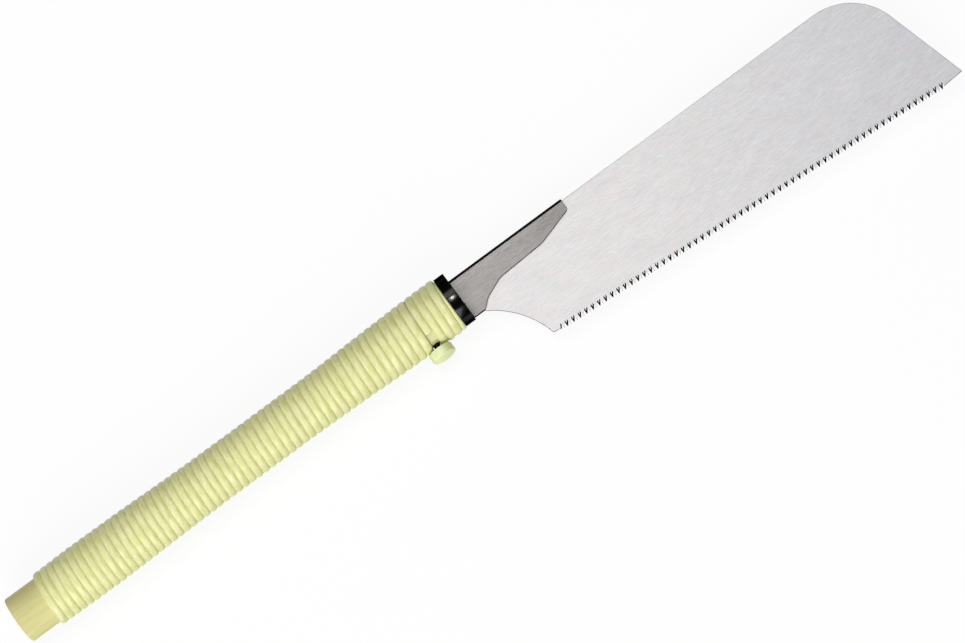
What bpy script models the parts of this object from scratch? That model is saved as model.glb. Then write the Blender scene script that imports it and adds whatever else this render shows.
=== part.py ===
# Kataba pull saw: a single-edged saw with a folded blade holder and a cane-bound handle.
# Frame: origin at the centre of the butt end, +X along the handle to the toe, +Y to the back of
# the blade, +Z square to the blade. Lengths are in metres.

import math

import bmesh
import bpy
from mathutils import Matrix, Vector

# Fits
GAP = 0.0003  # between pieces that lie against each other
RUNNING_GAP = 0.0001  # round the stud in its nut, and round the rivets
CUT_OVERRUN = 0.001  # how far a cutter runs past the face it opens
SMOOTH_ANGLE = math.radians(40)  # edges sharper than this stay crisp

# Handle core
HANDLE_LENGTH = 0.2714  # butt end to the front face of the ferrule
CORE_BUTT_HEIGHT = 0.0255
CORE_SWELL_HEIGHT = 0.0262
CORE_WAIST_HEIGHT = 0.0235
CORE_FRONT_HEIGHT = 0.0267
CORE_FLATNESS = 0.81  # depth as a share of the height
CORE_BUTT_RUN = 0.0170  # even stretch at the butt
CORE_SWELL_X = 0.0420
CORE_WAIST_START = 0.1300
CORE_WAIST_END = 0.1720
CORE_FRONT_X = 0.2560
CORE_EDGE_BREAK = 0.0005
CORE_SIDES = 28
CORE_STEP = 0.0150  # between the drawn sections
SPIGOT_HEIGHT = 0.0256  # under the ferrule

# Ferrule
FERRULE_LENGTH = 0.0051
FERRULE_WALL = 0.0012
FERRULE_ROUND = 0.0006
FERRULE_SIDES = 48

# Cane strips
CANE_PITCH = 0.00424  # at the stud
CANE_CLOSING = 0.00000515  # what each turn loses in pitch towards the butt
CANE_GAP = 0.0005  # between turns
CANE_THICKNESS = 0.0014
CANE_SHOULDER = 0.72  # height of the rounded edges as a share of the thickness
CANE_CROWN = 0.70  # width between the rounded edges as a share of the strip
CANE_SEAT = 0.00045  # from the core to the corners of the strip
CANE_POINTS = 14  # points in one turn
CANE_REAR_TURNS = 56.25  # to an end on the far side
CANE_REAR_LENGTHS = 3
CANE_JOINT = 0.0006  # where one length ends and the next begins
CANE_SPLIT = 0.00045  # how far the rear turns stand back from the front ones
CANE_TIP = 0.0008  # width left where the front strip runs out along the ferrule
CANE_OPENING = math.radians(108)  # arc left bare round the stud

# Blade
BLADE_THICKNESS = 0.0006
EDGE_LENGTH = 0.2400  # heel to toe
EDGE_FALL = math.radians(4.19)  # toothed edge against the handle's axis
HEEL_REACH = 0.0277  # ahead of the ferrule
HEEL_DROP = 0.0437
HEEL_ROUND = 0.0008
SCALLOP_RADIUS = 0.0480
TOE_RAKE = math.radians(15.4)
TOE_ROUND = 0.0310
TOOTH_PITCH = 0.001885
TOOTH_DEPTH = 0.0025
TOOTH_LEAN = 0.0008  # how far a tip leans to the handle
TOOTH_PROUD = 0.0006  # tips below the line from heel to toe
FIRST_TOOTH = 0.0034
LEAD_OUT = 0.0105  # plain stretch at the toe
LEAD_RISE = 0.0021

# Blade holder and its tang
SHEET = 0.0008
CHANNEL_CLEARANCE = 0.00015
BACK_CLEARANCE = 0.00025
HOLDER_LENGTH = 0.0699  # ferrule to the tip
HOLDER_TOP = 0.0096
NOSE_BOTTOM = 0.0030
NOSE_ROUND = 0.0026
KINK_REACH = 0.0495
KINK_DROP = 0.0032
KINK_ROUND = 0.0120
THROAT_REACH = 0.0226
THROAT_DROP = 0.0047
THROAT_ROUND = 0.0090
SHOULDER_REACH = 0.0121
SHOULDER_DROP = 0.0092
SHOULDER_ROUND = 0.0060
NECK_REACH = 0.0074
NECK_DROP = 0.0134
NECK_ROUND = 0.0010
TANG_LENGTH = 0.0580
TANG_TOP = 0.0080
TANG_HEIGHT = 0.0090
TANG_ROUND = 0.0010
RIVET_DIAMETER = 0.0030
RIVET_MARGIN = 0.0110  # from each end of the tang

# Hook pin and the tail of the blade that catches it
PIN_REACH = 0.0116
PIN_HEIGHT = -0.0005
PIN_DIAMETER = 0.0032
PIN_SEAT = 0.0004  # how deep each end sits in its cheek
TAIL_REACH = 0.0072
TAIL_ROUND = 0.0064
TAIL_HEEL = 0.0045  # below the pin, where the rear edge turns to the neck
SPACER_REACH = 0.0012

# Tang socket
SOCKET_WALL = 0.0010
SOCKET_TAIL = 0.0100  # behind the tang
SOCKET_PIN_DIAMETER = 0.0030

# Thumbscrew
STUD_SETBACK = 0.0228  # behind the front face of the ferrule
STUD_DIAMETER = 0.0039
STUD_TIP_DIAMETER = 0.0016
STUD_GRIP = 0.0036  # length inside the knob
SCREW_PITCH = 0.0007
SCREW_TURNS = 2.5
SHOE_LENGTH = 0.0100
SHOE_HEIGHT = 0.0018
SHOE_HOLE = 0.0011  # depth of the hole that holds the tip of the stud
NUT_SIDE = 0.0070
NUT_HEIGHT = 0.0028
KNOB_FACE = 0.0161  # handle's axis to the underside of the knob
KNOB_DIAMETER = 0.0132
KNOB_SIDE = 0.0045
KNOB_DOME = 0.0015
KNOB_ROUND = 0.0006
WASHER_DIAMETER = 0.0070
WASHER_THICKNESS = 0.0008
ROUND_SIDES = 24
KNOB_SIDES = 40

# Steps along curved outlines
SCALLOP_STEPS = 12
TOE_STEPS = 10

# Places worked out from the sizes above
channel_gap = BLADE_THICKNESS + 2 * CHANNEL_CLEARANCE
holder_thickness = channel_gap + 2 * SHEET
ferrule_front = HANDLE_LENGTH
ferrule_rear = HANDLE_LENGTH - FERRULE_LENGTH
core_front = HANDLE_LENGTH - FERRULE_WALL - GAP
neck_face = HANDLE_LENGTH + GAP
blade_back = HOLDER_TOP - SHEET - BACK_CLEARANCE
tang_rear = HANDLE_LENGTH - TANG_LENGTH
tang_bottom = TANG_TOP - TANG_HEIGHT
tang_middle = TANG_TOP - TANG_HEIGHT / 2
hook_point = Vector((HANDLE_LENGTH + PIN_REACH, PIN_HEIGHT, 0))
stud_x = HANDLE_LENGTH - STUD_SETBACK
screw_travel = SCREW_PITCH * SCREW_TURNS
shoe_top = tang_bottom - GAP
shoe_bottom = shoe_top - SHOE_HEIGHT
socket_rear = tang_rear - SOCKET_TAIL
socket_roof = TANG_TOP + GAP
socket_floor = shoe_bottom - screw_travel - GAP
socket_half_width = holder_thickness / 2 + GAP
nut_top = socket_floor - SOCKET_WALL - GAP
nut_bottom = nut_top - NUT_HEIGHT
knob_point = Vector((stud_x, -KNOB_FACE, 0))


def clear_scene():
    for old in list(bpy.data.objects):
        bpy.data.objects.remove(old, do_unlink=True)


def linear(channel):
    share = channel / 255
    return share / 12.92 if share <= 0.04045 else ((share + 0.055) / 1.055) ** 2.4


def make_material(name, colour, roughness, metallic=0.0):
    material = bpy.data.materials.new(name)
    material.use_nodes = True
    shader = material.node_tree.nodes["Principled BSDF"]
    shader.inputs["Base Color"].default_value = (*map(linear, colour), 1.0)
    shader.inputs["Roughness"].default_value = roughness
    shader.inputs["Metallic"].default_value = metallic
    return material


def make_pivot(name, point):
    pivot = bpy.data.objects.new(name, None)
    pivot.location = point
    pivot.empty_display_size = 0.01
    bpy.context.scene.collection.objects.link(pivot)
    return pivot


def make_object(name, bm, pivot, material=None, smooth_angle=None):
    # The mesh is drawn in the saw's frame and then carried by its pivot.
    bmesh.ops.recalc_face_normals(bm, faces=bm.faces)
    bmesh.ops.translate(bm, verts=bm.verts, vec=-pivot.location)
    mesh = bpy.data.meshes.new(name)
    bm.to_mesh(mesh)
    bm.free()
    made = bpy.data.objects.new(name, mesh)
    bpy.context.scene.collection.objects.link(made)
    made.parent = pivot
    if material:
        mesh.materials.append(material)
    if smooth_angle:
        mesh.shade_smooth()
        mesh.set_sharp_from_angle(angle=smooth_angle)
    return made


def boolean(target, bm, operation="DIFFERENCE"):
    name = f"{target.name}_tool_{len(target.modifiers) + 1}"
    tool = make_object(name, bm, target.parent)
    tool.hide_render = True
    tool.display_type = "WIRE"
    modifier = target.modifiers.new(name, "BOOLEAN")
    modifier.operation = operation
    modifier.solver = "EXACT"
    modifier.object = tool


def box(low, high):
    bm = bmesh.new()
    low, high = Vector(low), Vector(high)
    size = high - low
    place = Matrix.Translation((low + high) / 2) @ Matrix.Diagonal((*size, 1))
    bmesh.ops.create_cube(bm, size=1, matrix=place)
    return bm


def prism(outline, low, high):
    # An outline in X and Y, extruded along Z.
    bm = bmesh.new()
    face = bm.faces.new([bm.verts.new((x, y, low)) for x, y in outline])
    swept = bmesh.ops.extrude_face_region(bm, geom=[face])["geom"]
    corners = [item for item in swept if isinstance(item, bmesh.types.BMVert)]
    bmesh.ops.translate(bm, verts=corners, vec=(0, 0, high - low))
    return bm


def loft(rings, closed=False):
    # Rings of equal length joined by quads, with the two ends capped or, if closed, joined.
    bm = bmesh.new()
    loops = [[bm.verts.new(point) for point in ring] for ring in rings]
    pairs = list(zip(loops, loops[1:]))
    if closed:
        pairs.append((loops[-1], loops[0]))
    else:
        bm.faces.new(loops[0])
        bm.faces.new(loops[-1])
    for near, far in pairs:
        for index in range(len(near)):
            after = (index + 1) % len(near)
            bm.faces.new((near[index], near[after], far[after], far[index]))
    return bm


def turned(start, direction, stations, sides, closed=False):
    # A round piece: each station is a distance along the axis and a radius.
    direction = Vector(direction)
    across = direction.orthogonal().normalized()
    around = direction.cross(across)
    rings = []
    for distance, radius in stations:
        centre = Vector(start) + direction * distance
        ring = []
        for index in range(sides):
            angle = 2 * math.pi * index / sides
            ring.append(centre + radius * (math.cos(angle) * across + math.sin(angle) * around))
        rings.append(ring)
    return loft(rings, closed)


def rod(start, direction, length, radius):
    return turned(start, direction, [(0, radius), (length, radius)], ROUND_SIDES)


def rod_through(x, y, half_length, radius):
    # A rod square to the blade, with its middle in the plane of the blade.
    return rod((x, y, -half_length), (0, 0, 1), 2 * half_length, radius)


def arc(start, end, radius, steps, turn):
    # Points after start and before end on an arc; turn is 1 where it bends left and -1 right.
    start, end = Vector(start), Vector(end)
    half = (end - start) / 2
    left = Vector((-half.y, half.x)).normalized()
    centre = start + half + turn * left * math.sqrt(radius**2 - half.length_squared)
    first = start - centre
    sweep = turn * 2 * math.asin(half.length / radius)
    return [centre + Matrix.Rotation(sweep * step / steps, 2) @ first for step in range(1, steps)]


def rounded(corners, steps=5):
    # An outline from corners of (x, y, radius), each radius made as an arc.
    outline = []
    for index, (x, y, radius) in enumerate(corners):
        corner = Vector((x, y))
        if radius == 0:
            outline.append(corner)
            continue
        before = (Vector(corners[index - 1][:2]) - corner).normalized()
        after = (Vector(corners[(index + 1) % len(corners)][:2]) - corner).normalized()
        setback = radius / math.tan(before.angle(after) / 2)
        start, end = corner + before * setback, corner + after * setback
        turn = 1 if before.cross(after) < 0 else -1
        outline += [start, *arc(start, end, radius, steps, turn), end]
    return outline


def eased(x, start, end):
    # Rises from 0 to 1 between two places, with level ends.
    share = min(max((x - start) / (end - start), 0), 1)
    return (1 - math.cos(math.pi * share)) / 2


def core_half_size(x):
    # Half height and half depth of the wood: a swell near the butt, a waist, and a thicker front.
    height = CORE_BUTT_HEIGHT
    height += (CORE_SWELL_HEIGHT - CORE_BUTT_HEIGHT) * eased(x, CORE_BUTT_RUN, CORE_SWELL_X)
    height += (CORE_WAIST_HEIGHT - CORE_SWELL_HEIGHT) * eased(x, CORE_SWELL_X, CORE_WAIST_START)
    height += (CORE_FRONT_HEIGHT - CORE_WAIST_HEIGHT) * eased(x, CORE_WAIST_END, CORE_FRONT_X)
    return height / 2, CORE_FLATNESS * height / 2


def oval(x, half_height, half_depth, sides):
    # Angle 0 is at the back of the saw and a quarter turn on is the +Z side.
    ring = []
    for index in range(sides):
        angle = 2 * math.pi * index / sides
        ring.append(Vector((x, half_height * math.cos(angle), half_depth * math.sin(angle))))
    return ring


def core_ring(x, inset=0.0):
    half_height, half_depth = core_half_size(x)
    return oval(x, half_height - inset, half_depth - inset, CORE_SIDES)


def spigot_half_size():
    return SPIGOT_HEIGHT / 2, CORE_FLATNESS * SPIGOT_HEIGHT / 2


def make_core(pivot, material):
    shoulder_x = ferrule_rear - GAP
    stations = math.ceil((shoulder_x - CORE_EDGE_BREAK) / CORE_STEP)
    rings = [core_ring(0, CORE_EDGE_BREAK)]
    for station in range(stations + 1):
        share = station / stations
        rings.append(core_ring(CORE_EDGE_BREAK + (shoulder_x - CORE_EDGE_BREAK) * share))
    for x in (shoulder_x, core_front):
        rings.append(oval(x, *spigot_half_size(), CORE_SIDES))
    core = make_object("handle_core", loft(rings), pivot, material, SMOOTH_ANGLE)
    past_front = core_front + CUT_OVERRUN
    mortise_floor = socket_floor - SOCKET_WALL - GAP
    mortise_half_width = socket_half_width + SOCKET_WALL + GAP
    boolean(core, box(
        (socket_rear - GAP, mortise_floor, -mortise_half_width),
        (past_front, socket_roof + SOCKET_WALL + GAP, mortise_half_width),
    ))
    nut_reach = NUT_SIDE / 2 + GAP
    boolean(core, box(
        (stud_x - nut_reach, nut_bottom - GAP, -nut_reach),
        (past_front, mortise_floor + CUT_OVERRUN, nut_reach),
    ))
    hole_start = (stud_x, nut_bottom + CUT_OVERRUN, 0)
    hole_length = CORE_FRONT_HEIGHT / 2 + nut_bottom + 2 * CUT_OVERRUN
    boolean(core, rod(hole_start, (0, -1, 0), hole_length, STUD_DIAMETER / 2 + 2 * GAP))
    boolean(core, rod_through(*socket_pin_place(), CORE_FRONT_HEIGHT, SOCKET_PIN_DIAMETER / 2 + GAP))


def make_ferrule(pivot, material):
    half_height, half_depth = (half + GAP for half in spigot_half_size())

    def ring(x, grow):
        return oval(x, half_height + grow, half_depth + grow, FERRULE_SIDES)

    edge = FERRULE_WALL - FERRULE_ROUND
    shoulder = FERRULE_ROUND * (1 - math.sqrt(0.5))
    rings = [
        ring(ferrule_rear, edge),
        ring(ferrule_rear + shoulder, FERRULE_WALL - shoulder),
        ring(ferrule_rear + FERRULE_ROUND, FERRULE_WALL),
        ring(ferrule_front - FERRULE_ROUND, FERRULE_WALL),
        ring(ferrule_front - shoulder, FERRULE_WALL - shoulder),
        ring(ferrule_front, edge),
    ]
    ferrule = make_object("ferrule", loft(rings), pivot, material, SMOOTH_ANGLE)
    inside = [ring(ferrule_rear - CUT_OVERRUN, 0), ring(ferrule_front - FERRULE_WALL, 0)]
    boolean(ferrule, loft(inside))
    boolean(ferrule, box(
        (ferrule_rear, tang_bottom - GAP, -socket_half_width),
        (ferrule_front + CUT_OVERRUN, socket_roof, socket_half_width),
    ))


def cane_place(turn):
    # Place along the handle and pitch there. Turns are counted from the stud towards the ferrule.
    if turn > 0:
        return stud_x + CANE_PITCH * turn, CANE_PITCH
    pitch = CANE_PITCH + CANE_CLOSING * turn
    return stud_x - CANE_SPLIT + (CANE_PITCH + pitch) / 2 * turn, pitch


def cane_ring(turn):
    # On the +Z side the strip runs down and back. Next to the ferrule it is trimmed to the rim.
    angle = math.pi - 2 * math.pi * turn
    centre, pitch = cane_place(turn)
    rear = centre - (pitch - CANE_GAP) / 2
    front = min(centre + (pitch - CANE_GAP) / 2, ferrule_rear - GAP)
    middle, half = (rear + front) / 2, (front - rear) / 2
    crown = CANE_CROWN * half
    shoulder = CANE_SHOULDER * CANE_THICKNESS
    section = [(-half, 0), (half, 0), (crown, shoulder), (0, CANE_THICKNESS), (-crown, shoulder)]
    ring = []
    for along, out in section:
        half_height, half_depth = core_half_size(middle + along)
        lift = CANE_SEAT + out
        ring.append(Vector((
            middle + along,
            (half_height + lift) * math.cos(angle),
            (half_depth + lift) * math.sin(angle),
        )))
    return ring


def cane_turns(first, last):
    # The two ends, and between them the places that every turn shares.
    least_step = 0.2 / CANE_POINTS
    inner = range(math.ceil(first * CANE_POINTS), math.floor(last * CANE_POINTS) + 1)
    shared = [step / CANE_POINTS for step in inner]
    kept = [turn for turn in shared if first + least_step < turn < last - least_step]
    return [first, *kept, last]


def least_gap(turns, rings):
    # Smallest distance between points of the strip that lie about one turn apart.
    least = math.inf
    for near, near_turn in zip(rings, turns):
        for far, far_turn in zip(rings, turns):
            if 0.6 < far_turn - near_turn < 1.4:
                least = min(least, *((a - b).length for a in near for b in far))
    return least


def make_cane(name, first, last, pivot, material):
    turns = cane_turns(first, last)
    rings = [cane_ring(turn) for turn in turns]
    make_object(name, loft(rings), pivot, material, SMOOTH_ANGLE)
    gap = least_gap(turns, rings) * 1000
    print(f"{name}: {last - first:.2f} turns, least gap to itself {gap:.2f} mm")


def make_canes(pivot, material):
    opening = CANE_OPENING / (2 * math.pi) / 2
    tip_rear = ferrule_rear - GAP - CANE_TIP
    run_out = (tip_rear + (CANE_PITCH - CANE_GAP) / 2 - stud_x) / CANE_PITCH
    make_cane("cane_strip_front", opening, run_out, pivot, material)
    # Lengths meet on the far side, a quarter turn from the stud.
    joints = [-opening]
    for length in range(1, CANE_REAR_LENGTHS):
        joints.append(-round(CANE_REAR_TURNS * length / CANE_REAR_LENGTHS) - 0.25)
    joints.append(-CANE_REAR_TURNS)
    joint_share = CANE_JOINT / (math.pi * CORE_WAIST_HEIGHT * (1 + CORE_FLATNESS) / 2)
    for index, (last, first) in enumerate(zip(joints, joints[1:])):
        begins = first if index == CANE_REAR_LENGTHS - 1 else first + joint_share
        make_cane(f"cane_strip_{index + 1}", begins, last, pivot, material)


def socket_pin_place():
    return socket_rear + SOCKET_TAIL / 2, tang_middle


def make_socket(pivot, steel):
    inner_low = (socket_rear - CUT_OVERRUN, socket_floor, -socket_half_width)
    inner_high = (core_front + CUT_OVERRUN, socket_roof, socket_half_width)
    outer_half_width = socket_half_width + SOCKET_WALL
    socket = make_object("tang_socket", box(
        (socket_rear, socket_floor - SOCKET_WALL, -outer_half_width),
        (core_front, socket_roof + SOCKET_WALL, outer_half_width),
    ), pivot, steel)
    boolean(socket, box(inner_low, inner_high))
    hole_start = (stud_x, socket_floor + SOCKET_WALL, 0)
    boolean(socket, rod(hole_start, (0, -1, 0), 3 * SOCKET_WALL, STUD_DIAMETER / 2 + GAP))
    x, y = socket_pin_place()
    radius = SOCKET_PIN_DIAMETER / 2
    boolean(socket, rod_through(x, y, 2 * outer_half_width, radius + GAP))
    half_height, half_depth = core_half_size(x)
    pin_half_length = half_depth * math.sqrt(1 - (y / half_height) ** 2) - 2 * GAP
    make_object("socket_pin", rod_through(x, y, pin_half_length, radius), pivot, steel, SMOOTH_ANGLE)


def make_nut(pivot, steel):
    half = NUT_SIDE / 2
    nut = make_object("clamp_nut", box(
        (stud_x - half, nut_bottom, -half), (stud_x + half, nut_top, half)
    ), pivot, steel)
    start = (stud_x, nut_top + CUT_OVERRUN, 0)
    length = NUT_HEIGHT + 2 * CUT_OVERRUN
    boolean(nut, rod(start, (0, -1, 0), length, STUD_DIAMETER / 2 + RUNNING_GAP))


def ahead(reach, height, radius=0.0):
    # A corner given from the front face of the ferrule and the handle's axis.
    return HANDLE_LENGTH + reach, height, radius


def rivet_places():
    return [(tang_rear + RIVET_MARGIN, tang_middle), (HANDLE_LENGTH - RIVET_MARGIN, tang_middle)]


def make_holder(pivot, sheet_steel):
    # A channel folded over the back of the blade, trimmed to the outline of the cheeks and tang.
    half = holder_thickness / 2
    foot = -NECK_DROP - CUT_OVERRUN
    fold_centre = HOLDER_TOP - half
    slot_half = channel_gap / 2
    slot_top = HOLDER_TOP - SHEET
    profile = [(slot_half, slot_top), (slot_half, foot), (half, foot)]
    fold_steps = 10
    for step in range(fold_steps + 1):
        angle = math.pi * step / fold_steps
        profile.append((half * math.cos(angle), fold_centre + half * math.sin(angle)))
    profile += [(-half, foot), (-slot_half, foot), (-slot_half, slot_top)]
    ends = (tang_rear - CUT_OVERRUN, HANDLE_LENGTH + HOLDER_LENGTH + CUT_OVERRUN)
    channel = loft([[Vector((x, y, z)) for z, y in profile] for x in ends])
    holder = make_object("blade_holder", channel, pivot, sheet_steel, SMOOTH_ANGLE)
    over_fold = HOLDER_TOP + CUT_OVERRUN
    corners = [
        (tang_rear, tang_bottom, TANG_ROUND),
        (neck_face, tang_bottom, 0),
        (neck_face, -NECK_DROP, 0),
        ahead(NECK_REACH, -NECK_DROP, NECK_ROUND),
        ahead(SHOULDER_REACH, -SHOULDER_DROP, SHOULDER_ROUND),
        ahead(THROAT_REACH, -THROAT_DROP, THROAT_ROUND),
        ahead(KINK_REACH, -KINK_DROP, KINK_ROUND),
        ahead(HOLDER_LENGTH, NOSE_BOTTOM, NOSE_ROUND),
        ahead(HOLDER_LENGTH, over_fold),
        (neck_face, over_fold, 0),
        (neck_face, TANG_TOP, 0),
        (tang_rear, TANG_TOP, TANG_ROUND),
    ]
    boolean(holder, prism(rounded(corners), -holder_thickness, holder_thickness), "INTERSECT")
    seat_half_length = channel_gap / 2 + PIN_SEAT
    seat_radius = PIN_DIAMETER / 2 + RUNNING_GAP
    boolean(holder, rod_through(hook_point.x, hook_point.y, seat_half_length, seat_radius))
    hole_radius = RIVET_DIAMETER / 2 + RUNNING_GAP
    for x, y in rivet_places():
        boolean(holder, rod_through(x, y, holder_thickness, hole_radius))


def make_tang_pieces(pivot, steel):
    half = BLADE_THICKNESS / 2
    spacer = make_object("tang_spacer", box(
        (tang_rear + GAP, tang_bottom + GAP, -half),
        (HANDLE_LENGTH + SPACER_REACH, TANG_TOP - GAP, half),
    ), pivot, steel)
    radius = RIVET_DIAMETER / 2
    for number, (x, y) in enumerate(rivet_places(), 1):
        boolean(spacer, rod_through(x, y, holder_thickness, radius + RUNNING_GAP))
        rivet = rod_through(x, y, holder_thickness / 2, radius)
        make_object(f"tang_rivet_{number}", rivet, pivot, steel, SMOOTH_ANGLE)
    pin_half_length = channel_gap / 2 + PIN_SEAT - RUNNING_GAP
    pin = rod_through(hook_point.x, hook_point.y, pin_half_length, PIN_DIAMETER / 2)
    make_object("hook_pin", pin, pivot, steel, SMOOTH_ANGLE)


def edge_point(along, up=0.0):
    # A place on the line from heel to toe, measured from the heel, and above it.
    cosine, sine = math.cos(EDGE_FALL), math.sin(EDGE_FALL)
    heel = Vector((HANDLE_LENGTH + HEEL_REACH, -HEEL_DROP))
    return heel + along * Vector((cosine, -sine)) + up * Vector((sine, cosine))


def toothed_edge():
    room = EDGE_LENGTH - LEAD_OUT - FIRST_TOOTH
    count = math.floor(room / TOOTH_PITCH) + 1
    gullet = TOOTH_LEAN - TOOTH_PITCH / 2
    gullet_height = TOOTH_DEPTH - TOOTH_PROUD
    outline = [edge_point(FIRST_TOOTH - TOOTH_PITCH)]
    for index in range(count):
        tip = FIRST_TOOTH + index * TOOTH_PITCH
        outline += [edge_point(tip + gullet, gullet_height), edge_point(tip, -TOOTH_PROUD)]
    after = FIRST_TOOTH + count * TOOTH_PITCH
    return [*outline, edge_point(after + gullet, gullet_height), edge_point(after)]


def hook_slot():
    # A slot open to the rear, round where it meets the pin.
    radius = PIN_DIAMETER / 2 + GAP
    x, y = hook_point.x, hook_point.y
    rear = x - TAIL_REACH
    steps = 8
    slot = [Vector((rear, y + radius))]
    for step in range(steps + 1):
        angle = math.pi / 2 - math.pi * step / steps
        slot.append(Vector((x + radius * math.cos(angle), y + radius * math.sin(angle))))
    return [*slot, Vector((rear, y - radius))]


def make_blade(pivot, steel):
    toe = edge_point(EDGE_LENGTH, LEAD_RISE)
    toe_top = toe.x - (blade_back - toe.y) * math.tan(TOE_RAKE)
    rear = hook_point.x - TAIL_REACH
    foot = Vector(ahead(NECK_REACH - NECK_ROUND, -NECK_DROP - GAP)[:2])
    heel = edge_point(0)
    heel_turn = edge_point(HEEL_ROUND)
    scallop = arc(foot, heel, SCALLOP_RADIUS, SCALLOP_STEPS, -1)
    heel_rise = (scallop[-1] - heel).normalized() * HEEL_ROUND
    # Only the rounded corners are asked of rounded(): the toe and the top of the tail.
    tail_top = rounded([
        (rear, hook_point.y + PIN_DIAMETER, 0),
        (toe.x, toe.y, 0),
        (toe_top, blade_back, TOE_ROUND),
        (rear, blade_back, TAIL_ROUND),
    ], TOE_STEPS)[1:]
    outline = [
        *tail_top,
        *hook_slot(),
        Vector((rear, hook_point.y - TAIL_HEEL)),
        foot,
        *scallop[:-1],
        heel + heel_rise,
        heel_turn,
        *toothed_edge(),
    ]
    half = BLADE_THICKNESS / 2
    make_object("saw_blade", prism(outline, -half, half), pivot, steel)


def make_shoe(pivot, steel):
    half_length, half_width = SHOE_LENGTH / 2, holder_thickness / 2
    shoe = make_object("clamp_shoe", box(
        (stud_x - half_length, shoe_bottom, -half_width),
        (stud_x + half_length, shoe_top, half_width),
    ), pivot, steel)
    start = (stud_x, shoe_bottom - CUT_OVERRUN, 0)
    depth = SHOE_HOLE + CUT_OVERRUN
    boolean(shoe, rod(start, (0, 1, 0), depth, STUD_TIP_DIAMETER / 2 + RUNNING_GAP))


def make_thumbscrew(pivot, stud_steel, washer_steel, plastic):
    down = Vector((0, -1, 0))
    radius = STUD_DIAMETER / 2
    tip_end = shoe_bottom + SHOE_HOLE - RUNNING_GAP
    tip_length = tip_end - socket_floor + GAP
    stud = turned((stud_x, tip_end, 0), down, [
        (0, STUD_TIP_DIAMETER / 2),
        (tip_length, STUD_TIP_DIAMETER / 2),
        (tip_length, radius),
        (tip_end + KNOB_FACE + STUD_GRIP, radius),
    ], ROUND_SIDES)
    make_object("thumb_stud", stud, pivot, stud_steel, SMOOTH_ANGLE)

    hole = radius + RUNNING_GAP
    rim = KNOB_DIAMETER / 2
    profile = [
        (STUD_GRIP + RUNNING_GAP, hole),
        (0, hole),
        (0, rim - KNOB_ROUND),
        (KNOB_ROUND, rim),
        (KNOB_SIDE - KNOB_ROUND, rim),
        (KNOB_SIDE, rim - KNOB_ROUND / 2),
    ]
    dome_steps = 5
    for step in range(1, dome_steps + 1):
        angle = math.pi / 2 * step / (dome_steps + 1)
        height = KNOB_SIDE + KNOB_DOME * math.sin(angle)
        profile.append((height, (rim - KNOB_ROUND / 2) * math.cos(angle)))
    knob = turned(knob_point, down, profile, KNOB_SIDES)
    make_object("thumb_knob", knob, pivot, plastic, SMOOTH_ANGLE)

    top = GAP + WASHER_THICKNESS
    outer = WASHER_DIAMETER / 2
    washer = turned(knob_point, down, [
        (-top, hole), (-top, outer), (-GAP, outer), (-GAP, hole)
    ], ROUND_SIDES, closed=True)
    make_object("knob_washer", washer, pivot, washer_steel, SMOOTH_ANGLE)


def main():
    clear_scene()
    wood = make_material("bare_wood", (210, 200, 148), 0.6)
    cane = make_material("glossy_cane", (226, 226, 166), 0.3)
    black = make_material("black_ferrule_enamel", (12, 12, 14), 0.2)
    brushed = make_material("brushed_blade_steel", (214, 213, 213), 0.35, 1.0)
    grey_sheet = make_material("grey_brushed_sheet", (140, 136, 133), 0.4, 1.0)
    hidden_steel = make_material("plain_steel", (150, 150, 152), 0.45, 1.0)
    dark_stud = make_material("blackened_stud", (34, 33, 33), 0.4, 1.0)
    washer_steel = make_material("bright_washer", (205, 205, 205), 0.2, 1.0)
    plastic = make_material("cream_plastic", (221, 229, 168), 0.35)

    handle = make_pivot("handle_origin", Vector((0, 0, 0)))
    tang_slide = make_pivot("tang_slide", Vector((HANDLE_LENGTH, tang_middle, 0)))
    hook = make_pivot("hook_axis", hook_point)
    screw = make_pivot("screw_axis", knob_point)

    make_core(handle, wood)
    make_ferrule(handle, black)
    make_canes(handle, cane)
    make_socket(handle, hidden_steel)
    make_nut(handle, hidden_steel)
    make_holder(tang_slide, grey_sheet)
    make_tang_pieces(tang_slide, hidden_steel)
    make_blade(hook, brushed)
    make_shoe(screw, hidden_steel)
    make_thumbscrew(screw, dark_stud, washer_steel, plastic)


main()
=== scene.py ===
import bpy
import math
from mathutils import Matrix, Vector


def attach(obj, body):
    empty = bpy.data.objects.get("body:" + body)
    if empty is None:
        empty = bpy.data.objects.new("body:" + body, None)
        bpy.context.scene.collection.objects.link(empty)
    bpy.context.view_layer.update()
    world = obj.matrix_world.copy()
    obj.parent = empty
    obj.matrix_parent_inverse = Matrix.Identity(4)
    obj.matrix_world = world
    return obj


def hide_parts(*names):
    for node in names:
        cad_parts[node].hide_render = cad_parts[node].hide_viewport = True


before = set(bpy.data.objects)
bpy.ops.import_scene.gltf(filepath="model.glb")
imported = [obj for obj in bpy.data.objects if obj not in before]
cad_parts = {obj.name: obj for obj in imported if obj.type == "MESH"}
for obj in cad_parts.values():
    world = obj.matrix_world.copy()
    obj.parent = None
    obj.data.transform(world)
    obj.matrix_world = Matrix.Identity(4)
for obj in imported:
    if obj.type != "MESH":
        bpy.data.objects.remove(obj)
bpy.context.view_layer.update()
print("frame loaded with", len(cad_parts), "nodes")


# small hand tools

mergeNear = 0.000001


def clearSelection():
    if bpy.context.object and bpy.context.object.mode != "OBJECT":
        bpy.ops.object.mode_set(mode="OBJECT")
    bpy.ops.object.select_all(action="DESELECT")


def takeUp(piece):
    clearSelection()
    piece.select_set(True)
    bpy.context.view_layer.objects.active = piece


def editAll(piece):
    takeUp(piece)
    bpy.ops.object.mode_set(mode="EDIT")
    bpy.ops.mesh.select_all(action="SELECT")


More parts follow.
